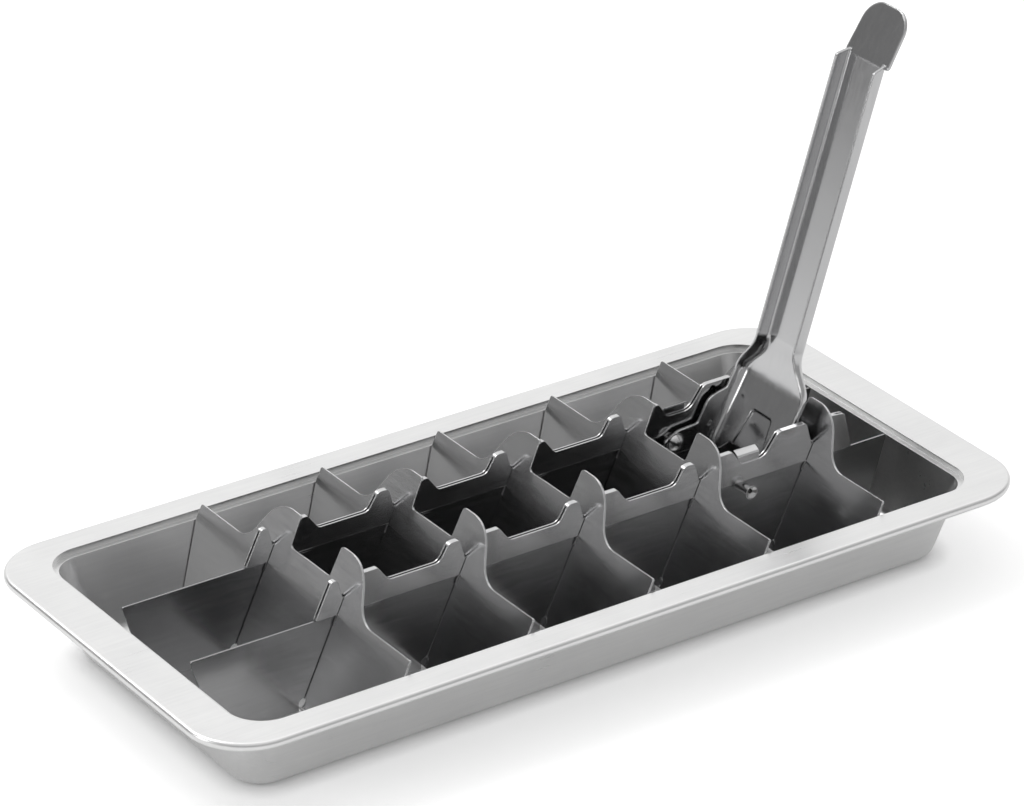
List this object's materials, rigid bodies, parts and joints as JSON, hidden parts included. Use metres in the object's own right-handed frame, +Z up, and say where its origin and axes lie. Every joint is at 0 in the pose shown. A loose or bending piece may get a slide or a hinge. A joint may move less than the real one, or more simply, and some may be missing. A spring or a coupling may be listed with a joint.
{
  "type": "lever ice cube tray",
  "caption": "Rectangular metal ice tray with a lift-out grid of tilting finned dividers, moved by slide bars and a pull-up lever handle.",
  "frame": {"origin": "centre of the pan's underside, on the surface it stands on", "axes": "+Z up, +X along the pan toward the end with the handle pivot, +Y across the pan"},
  "size_m": [0.301, 0.1438, 0.1685],
  "materials": {
    "pan_metal": "satin sheet",
    "divider_metal": "polished sheet",
    "rail_metal": "polished sheet",
    "slide_metal": "polished sheet",
    "handle_metal": "polished sheet",
    "rivet_metal": "bright turned"
  },
  "bodies": {
    "pan": {"tray_pan": "pan_metal"},
    "grid_frame": {"near_fixed_rail": "rail_metal", "far_fixed_rail": "rail_metal", "near_pivot_rivet": "rivet_metal", "far_pivot_rivet": "rivet_metal", "near_rivet_disc": "rivet_metal", "far_rivet_disc": "rivet_metal", "near_ear_spacer": "rivet_metal", "far_ear_spacer": "rivet_metal", "near_rivet_collar": "rivet_metal", "far_rivet_collar": "rivet_metal"},
    "near_slide": {"near_slide_bar": "slide_metal"},
    "far_slide": {"far_slide_bar": "slide_metal"},
    "handle": {"lever_handle": "handle_metal", "near_drive_stud": "rivet_metal", "far_drive_stud": "rivet_metal"},
    "divider_1": {"divider_1": "divider_metal"},
    "divider_2": {"divider_2": "divider_metal"},
    "divider_3": {"divider_3": "divider_metal"},
    "divider_4": {"divider_4": "divider_metal"},
    "divider_5": {"divider_5": "divider_metal"}
  },
  "joints": [
    {"name": "grid_lift", "type": "slide", "parent": "pan", "child": "grid_frame", "axis": [0, 0, 1], "range_m": [0, 0.06]},
    {"name": "handle_swing", "type": "hinge", "parent": "grid_frame", "child": "handle", "pos_m": [0.0734, 0, 0.0275], "axis": [0, -1, 0], "range_deg": [0, 108]},
    {"name": "near_slide_travel", "type": "slide", "parent": "grid_frame", "child": "near_slide", "axis": [-1, 0, 0], "range_m": [0, 0.0232]},
    {"name": "far_slide_travel", "type": "slide", "parent": "grid_frame", "child": "far_slide", "axis": [-1, 0, 0], "range_m": [0, 0.0232]},
    {"name": "divider_1_tilt", "type": "hinge", "parent": "grid_frame", "child": "divider_1", "pos_m": [-0.09123, 0, 0.003], "axis": [0, -1, 0], "range_deg": [0, 39]},
    {"name": "divider_2_tilt", "type": "hinge", "parent": "grid_frame", "child": "divider_2", "pos_m": [-0.04703, 0, 0.003], "axis": [0, -1, 0], "range_deg": [0, 39]},
    {"name": "divider_3_tilt", "type": "hinge", "parent": "grid_frame", "child": "divider_3", "pos_m": [-0.00283, 0, 0.003], "axis": [0, -1, 0], "range_deg": [0, 39]},
    {"name": "divider_4_tilt", "type": "hinge", "parent": "grid_frame", "child": "divider_4", "pos_m": [0.04137, 0, 0.003], "axis": [0, -1, 0], "range_deg": [0, 39]},
    {"name": "divider_5_tilt", "type": "hinge", "parent": "grid_frame", "child": "divider_5", "pos_m": [0.08557, 0, 0.003], "axis": [0, -1, 0], "range_deg": [0, 39]}
  ],
  "couplings": [
    {"joint": "near_slide_travel", "follows": "handle_swing", "m_per_rad": 0.012263},
    {"joint": "far_slide_travel", "follows": "handle_swing", "m_per_rad": 0.012263},
    {"joint": "divider_1_tilt", "follows": "handle_swing", "ratio": 0.36111},
    {"joint": "divider_2_tilt", "follows": "handle_swing", "ratio": 0.36111},
    {"joint": "divider_3_tilt", "follows": "handle_swing", "ratio": 0.36111},
    {"joint": "divider_4_tilt", "follows": "handle_swing", "ratio": 0.36111},
    {"joint": "divider_5_tilt", "follows": "handle_swing", "ratio": 0.36111}
  ]
}
